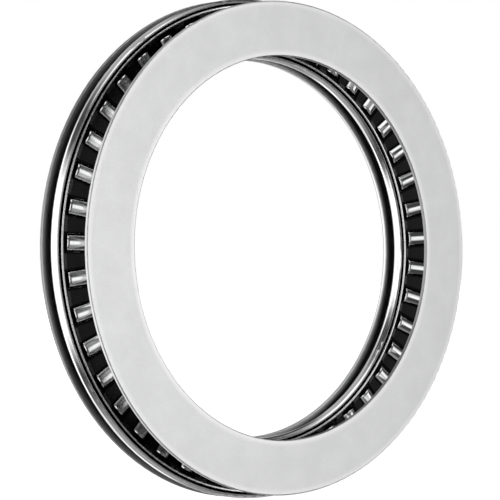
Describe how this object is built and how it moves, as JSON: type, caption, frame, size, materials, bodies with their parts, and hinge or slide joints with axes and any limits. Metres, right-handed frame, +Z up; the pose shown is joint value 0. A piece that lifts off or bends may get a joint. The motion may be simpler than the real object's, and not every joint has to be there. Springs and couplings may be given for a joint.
{
  "type": "thrust needle roller bearing",
  "caption": "Thrust bearing with flat washers either side of a pressed steel cage of radial cylindrical rollers, shown spread along its axis.",
  "frame": {"origin": "on the shaft axis, halfway through the housing washer", "axes": "+Y along the shaft axis, from the shaft washer towards the housing washer; +Z up with the ring standing upright"},
  "size_m": [0.1122, 0.0152, 0.1122],
  "materials": {
    "ground_washer": "fine ground, satin",
    "pressed_cage": "bright pressed steel",
    "polished_roller": "polished"
  },
  "bodies": {
    "housing_side": {"housing_washer": "ground_washer"},
    "cage": {"cage_rear_shell": "pressed_cage", "cage_front_shell": "pressed_cage"},
    "shaft_side": {"shaft_washer": "ground_washer"},
    "roller_01": {"roller_01": "polished_roller"},
    "roller_02": {"roller_02": "polished_roller"},
    "roller_03": {"roller_03": "polished_roller"},
    "roller_04": {"roller_04": "polished_roller"},
    "roller_05": {"roller_05": "polished_roller"},
    "roller_06": {"roller_06": "polished_roller"},
    "roller_07": {"roller_07": "polished_roller"},
    "roller_08": {"roller_08": "polished_roller"},
    "roller_09": {"roller_09": "polished_roller"},
    "roller_10": {"roller_10": "polished_roller"},
    "roller_11": {"roller_11": "polished_roller"},
    "roller_12": {"roller_12": "polished_roller"},
    "roller_13": {"roller_13": "polished_roller"},
    "roller_14": {"roller_14": "polished_roller"},
    "roller_15": {"roller_15": "polished_roller"},
    "roller_16": {"roller_16": "polished_roller"},
    "roller_17": {"roller_17": "polished_roller"},
    "roller_18": {"roller_18": "polished_roller"},
    "roller_19": {"roller_19": "polished_roller"},
    "roller_20": {"roller_20": "polished_roller"},
    "roller_21": {"roller_21": "polished_roller"},
    "roller_22": {"roller_22": "polished_roller"},
    "roller_23": {"roller_23": "polished_roller"},
    "roller_24": {"roller_24": "polished_roller"},
    "roller_25": {"roller_25": "polished_roller"},
    "roller_26": {"roller_26": "polished_roller"},
    "roller_27": {"roller_27": "polished_roller"},
    "roller_28": {"roller_28": "polished_roller"},
    "roller_29": {"roller_29": "polished_roller"},
    "roller_30": {"roller_30": "polished_roller"},
    "roller_31": {"roller_31": "polished_roller"},
    "roller_32": {"roller_32": "polished_roller"},
    "roller_33": {"roller_33": "polished_roller"},
    "roller_34": {"roller_34": "polished_roller"},
    "roller_35": {"roller_35": "polished_roller"},
    "roller_36": {"roller_36": "polished_roller"},
    "roller_37": {"roller_37": "polished_roller"},
    "roller_38": {"roller_38": "polished_roller"},
    "roller_39": {"roller_39": "polished_roller"},
    "roller_40": {"roller_40": "polished_roller"},
    "roller_41": {"roller_41": "polished_roller"},
    "roller_42": {"roller_42": "polished_roller"},
    "roller_43": {"roller_43": "polished_roller"}
  },
  "joints": [
    {"name": "shaft_washer_spin", "type": "hinge", "parent": "housing_side", "child": "shaft_side", "pos_m": [0, -0.01415, 0], "axis": [0, 1, 0], "continuous": true},
    {"name": "cage_spin", "type": "hinge", "parent": "housing_side", "child": "cage", "pos_m": [0, -0.00375, 0], "axis": [0, 1, 0], "continuous": true},
    {"name": "roller_01_spin", "type": "hinge", "parent": "cage", "child": "roller_01", "pos_m": [0.04944, -0.00375, 0.0025], "axis": [0.9987, 0, 0.0506], "continuous": true},
    {"name": "roller_02_spin", "type": "hinge", "parent": "cage", "child": "roller_02", "pos_m": [0.04855, -0.00375, 0.00968], "axis": [0.9807, 0, 0.1955], "continuous": true},
    {"name": "roller_03_spin", "type": "hinge", "parent": "cage", "child": "roller_03", "pos_m": [0.04662, -0.00375, 0.01664], "axis": [0.9418, 0, 0.3362], "continuous": true},
    {"name": "roller_04_spin", "type": "hinge", "parent": "cage", "child": "roller_04", "pos_m": [0.0437, -0.00375, 0.02325], "axis": [0.8828, 0, 0.4697], "continuous": true},
    {"name": "roller_05_spin", "type": "hinge", "parent": "cage", "child": "roller_05", "pos_m": [0.03985, -0.00375, 0.02937], "axis": [0.805, 0, 0.5933], "continuous": true},
    {"name": "roller_06_spin", "type": "hinge", "parent": "cage", "child": "roller_06", "pos_m": [0.03515, -0.00375, 0.03486], "axis": [0.7101, 0, 0.7041], "continuous": true},
    {"name": "roller_07_spin", "type": "hinge", "parent": "cage", "child": "roller_07", "pos_m": [0.0297, -0.00375, 0.0396], "axis": [0.6, 0, 0.8], "continuous": true},
    {"name": "roller_08_spin", "type": "hinge", "parent": "cage", "child": "roller_08", "pos_m": [0.02362, -0.00375, 0.0435], "axis": [0.4771, 0, 0.8789], "continuous": true},
    {"name": "roller_09_spin", "type": "hinge", "parent": "cage", "child": "roller_09", "pos_m": [0.01703, -0.00375, 0.04648], "axis": [0.344, 0, 0.939], "continuous": true},
    {"name": "roller_10_spin", "type": "hinge", "parent": "cage", "child": "roller_10", "pos_m": [0.01008, -0.00375, 0.04846], "axis": [0.2037, 0, 0.979], "continuous": true},
    {"name": "roller_11_spin", "type": "hinge", "parent": "cage", "child": "roller_11", "pos_m": [0.00292, -0.00375, 0.04941], "axis": [0.0589, 0, 0.9983], "continuous": true},
    {"name": "roller_12_spin", "type": "hinge", "parent": "cage", "child": "roller_12", "pos_m": [-0.00431, -0.00375, 0.04931], "axis": [-0.087, 0, 0.9962], "continuous": true},
    {"name": "roller_13_spin", "type": "hinge", "parent": "cage", "child": "roller_13", "pos_m": [-0.01144, -0.00375, 0.04816], "axis": [-0.2312, 0, 0.9729], "continuous": true},
    {"name": "roller_14_spin", "type": "hinge", "parent": "cage", "child": "roller_14", "pos_m": [-0.01833, -0.00375, 0.04598], "axis": [-0.3704, 0, 0.9289], "continuous": true},
    {"name": "roller_15_spin", "type": "hinge", "parent": "cage", "child": "roller_15", "pos_m": [-0.02483, -0.00375, 0.04282], "axis": [-0.5017, 0, 0.8651], "continuous": true},
    {"name": "roller_16_spin", "type": "hinge", "parent": "cage", "child": "roller_16", "pos_m": [-0.0308, -0.00375, 0.03875], "axis": [-0.6223, 0, 0.7828], "continuous": true},
    {"name": "roller_17_spin", "type": "hinge", "parent": "cage", "child": "roller_17", "pos_m": [-0.03612, -0.00375, 0.03385], "axis": [-0.7296, 0, 0.6839], "continuous": true},
    {"name": "roller_18_spin", "type": "hinge", "parent": "cage", "child": "roller_18", "pos_m": [-0.04066, -0.00375, 0.02823], "axis": [-0.8214, 0, 0.5703], "continuous": true},
    {"name": "roller_19_spin", "type": "hinge", "parent": "cage", "child": "roller_19", "pos_m": [-0.04434, -0.00375, 0.02201], "axis": [-0.8957, 0, 0.4447], "continuous": true},
    {"name": "roller_20_spin", "type": "hinge", "parent": "cage", "child": "roller_20", "pos_m": [-0.04707, -0.00375, 0.01532], "axis": [-0.9509, 0, 0.3095], "continuous": true},
    {"name": "roller_21_spin", "type": "hinge", "parent": "cage", "child": "roller_21", "pos_m": [-0.0488, -0.00375, 0.0083], "axis": [-0.9858, 0, 0.1678], "continuous": true},
    {"name": "roller_22_spin", "type": "hinge", "parent": "cage", "child": "roller_22", "pos_m": [-0.04949, -0.00375, 0.00111], "axis": [-0.9997, 0, 0.0224], "continuous": true},
    {"name": "roller_23_spin", "type": "hinge", "parent": "cage", "child": "roller_23", "pos_m": [-0.04912, -0.00375, -0.00611], "axis": [-0.9924, 0, -0.1234], "continuous": true},
    {"name": "roller_24_spin", "type": "hinge", "parent": "cage", "child": "roller_24", "pos_m": [-0.04771, -0.00375, -0.01319], "axis": [-0.9638, 0, -0.2665], "continuous": true},
    {"name": "roller_25_spin", "type": "hinge", "parent": "cage", "child": "roller_25", "pos_m": [-0.04528, -0.00375, -0.02], "axis": [-0.9147, 0, -0.404], "continuous": true},
    {"name": "roller_26_spin", "type": "hinge", "parent": "cage", "child": "roller_26", "pos_m": [-0.04189, -0.00375, -0.02638], "axis": [-0.8462, 0, -0.5329], "continuous": true},
    {"name": "roller_27_spin", "type": "hinge", "parent": "cage", "child": "roller_27", "pos_m": [-0.0376, -0.00375, -0.0322], "axis": [-0.7596, 0, -0.6504], "continuous": true},
    {"name": "roller_28_spin", "type": "hinge", "parent": "cage", "child": "roller_28", "pos_m": [-0.03251, -0.00375, -0.03733], "axis": [-0.6568, 0, -0.7541], "continuous": true},
    {"name": "roller_29_spin", "type": "hinge", "parent": "cage", "child": "roller_29", "pos_m": [-0.02673, -0.00375, -0.04166], "axis": [-0.54, 0, -0.8417], "continuous": true},
    {"name": "roller_30_spin", "type": "hinge", "parent": "cage", "child": "roller_30", "pos_m": [-0.02038, -0.00375, -0.04511], "axis": [-0.4117, 0, -0.9113], "continuous": true},
    {"name": "roller_31_spin", "type": "hinge", "parent": "cage", "child": "roller_31", "pos_m": [-0.01359, -0.00375, -0.0476], "axis": [-0.2746, 0, -0.9616], "continuous": true},
    {"name": "roller_32_spin", "type": "hinge", "parent": "cage", "child": "roller_32", "pos_m": [-0.00652, -0.00375, -0.04907], "axis": [-0.1317, 0, -0.9913], "continuous": true},
    {"name": "roller_33_spin", "type": "hinge", "parent": "cage", "child": "roller_33", "pos_m": [0.0007, -0.00375, -0.0495], "axis": [0.0141, 0, -0.9999], "continuous": true},
    {"name": "roller_34_spin", "type": "hinge", "parent": "cage", "child": "roller_34", "pos_m": [0.0079, -0.00375, -0.04887], "axis": [0.1595, 0, -0.9872], "continuous": true},
    {"name": "roller_35_spin", "type": "hinge", "parent": "cage", "child": "roller_35", "pos_m": [0.01493, -0.00375, -0.0472], "axis": [0.3016, 0, -0.9534], "continuous": true},
    {"name": "roller_36_spin", "type": "hinge", "parent": "cage", "child": "roller_36", "pos_m": [0.02164, -0.00375, -0.04452], "axis": [0.4372, 0, -0.8994], "continuous": true},
    {"name": "roller_37_spin", "type": "hinge", "parent": "cage", "child": "roller_37", "pos_m": [0.02789, -0.00375, -0.04089], "axis": [0.5635, 0, -0.8261], "continuous": true},
    {"name": "roller_38_spin", "type": "hinge", "parent": "cage", "child": "roller_38", "pos_m": [0.03355, -0.00375, -0.0364], "axis": [0.6777, 0, -0.7353], "continuous": true},
    {"name": "roller_39_spin", "type": "hinge", "parent": "cage", "child": "roller_39", "pos_m": [0.03849, -0.00375, -0.03112], "axis": [0.7776, 0, -0.6288], "continuous": true},
    {"name": "roller_40_spin", "type": "hinge", "parent": "cage", "child": "roller_40", "pos_m": [0.04261, -0.00375, -0.02519], "axis": [0.8608, 0, -0.5089], "continuous": true},
    {"name": "roller_41_spin", "type": "hinge", "parent": "cage", "child": "roller_41", "pos_m": [0.04583, -0.00375, -0.01872], "axis": [0.9258, 0, -0.3781], "continuous": true},
    {"name": "roller_42_spin", "type": "hinge", "parent": "cage", "child": "roller_42", "pos_m": [0.04806, -0.00375, -0.01184], "axis": [0.971, 0, -0.2393], "continuous": true},
    {"name": "roller_43_spin", "type": "hinge", "parent": "cage", "child": "roller_43", "pos_m": [0.04927, -0.00375, -0.00472], "axis": [0.9954, 0, -0.0954], "continuous": true}
  ],
  "couplings": [
    {"joint": "cage_spin", "follows": "shaft_washer_spin", "ratio": 0.5},
    {"joint": "roller_01_spin", "follows": "shaft_washer_spin", "ratio": 12.375},
    {"joint": "roller_02_spin", "follows": "shaft_washer_spin", "ratio": 12.375},
    {"joint": "roller_03_spin", "follows": "shaft_washer_spin", "ratio": 12.375},
    {"joint": "roller_04_spin", "follows": "shaft_washer_spin", "ratio": 12.375},
    {"joint": "roller_05_spin", "follows": "shaft_washer_spin", "ratio": 12.375},
    {"joint": "roller_06_spin", "follows": "shaft_washer_spin", "ratio": 12.375},
    {"joint": "roller_07_spin", "follows": "shaft_washer_spin", "ratio": 12.375},
    {"joint": "roller_08_spin", "follows": "shaft_washer_spin", "ratio": 12.375},
    {"joint": "roller_09_spin", "follows": "shaft_washer_spin", "ratio": 12.375},
    {"joint": "roller_10_spin", "follows": "shaft_washer_spin", "ratio": 12.375},
    {"joint": "roller_11_spin", "follows": "shaft_washer_spin", "ratio": 12.375},
    {"joint": "roller_12_spin", "follows": "shaft_washer_spin", "ratio": 12.375},
    {"joint": "roller_13_spin", "follows": "shaft_washer_spin", "ratio": 12.375},
    {"joint": "roller_14_spin", "follows": "shaft_washer_spin", "ratio": 12.375},
    {"joint": "roller_15_spin", "follows": "shaft_washer_spin", "ratio": 12.375},
    {"joint": "roller_16_spin", "follows": "shaft_washer_spin", "ratio": 12.375},
    {"joint": "roller_17_spin", "follows": "shaft_washer_spin", "ratio": 12.375},
    {"joint": "roller_18_spin", "follows": "shaft_washer_spin", "ratio": 12.375},
    {"joint": "roller_19_spin", "follows": "shaft_washer_spin", "ratio": 12.375},
    {"joint": "roller_20_spin", "follows": "shaft_washer_spin", "ratio": 12.375},
    {"joint": "roller_21_spin", "follows": "shaft_washer_spin", "ratio": 12.375},
    {"joint": "roller_22_spin", "follows": "shaft_washer_spin", "ratio": 12.375},
    {"joint": "roller_23_spin", "follows": "shaft_washer_spin", "ratio": 12.375},
    {"joint": "roller_24_spin", "follows": "shaft_washer_spin", "ratio": 12.375},
    {"joint": "roller_25_spin", "follows": "shaft_washer_spin", "ratio": 12.375},
    {"joint": "roller_26_spin", "follows": "shaft_washer_spin", "ratio": 12.375},
    {"joint": "roller_27_spin", "follows": "shaft_washer_spin", "ratio": 12.375},
    {"joint": "roller_28_spin", "follows": "shaft_washer_spin", "ratio": 12.375},
    {"joint": "roller_29_spin", "follows": "shaft_washer_spin", "ratio": 12.375},
    {"joint": "roller_30_spin", "follows": "shaft_washer_spin", "ratio": 12.375},
    {"joint": "roller_31_spin", "follows": "shaft_washer_spin", "ratio": 12.375},
    {"joint": "roller_32_spin", "follows": "shaft_washer_spin", "ratio": 12.375},
    {"joint": "roller_33_spin", "follows": "shaft_washer_spin", "ratio": 12.375},
    {"joint": "roller_34_spin", "follows": "shaft_washer_spin", "ratio": 12.375},
    {"joint": "roller_35_spin", "follows": "shaft_washer_spin", "ratio": 12.375},
    {"joint": "roller_36_spin", "follows": "shaft_washer_spin", "ratio": 12.375},
    {"joint": "roller_37_spin", "follows": "shaft_washer_spin", "ratio": 12.375},
    {"joint": "roller_38_spin", "follows": "shaft_washer_spin", "ratio": 12.375},
    {"joint": "roller_39_spin", "follows": "shaft_washer_spin", "ratio": 12.375},
    {"joint": "roller_40_spin", "follows": "shaft_washer_spin", "ratio": 12.375},
    {"joint": "roller_41_spin", "follows": "shaft_washer_spin", "ratio": 12.375},
    {"joint": "roller_42_spin", "follows": "shaft_washer_spin", "ratio": 12.375},
    {"joint": "roller_43_spin", "follows": "shaft_washer_spin", "ratio": 12.375}
  ]
}
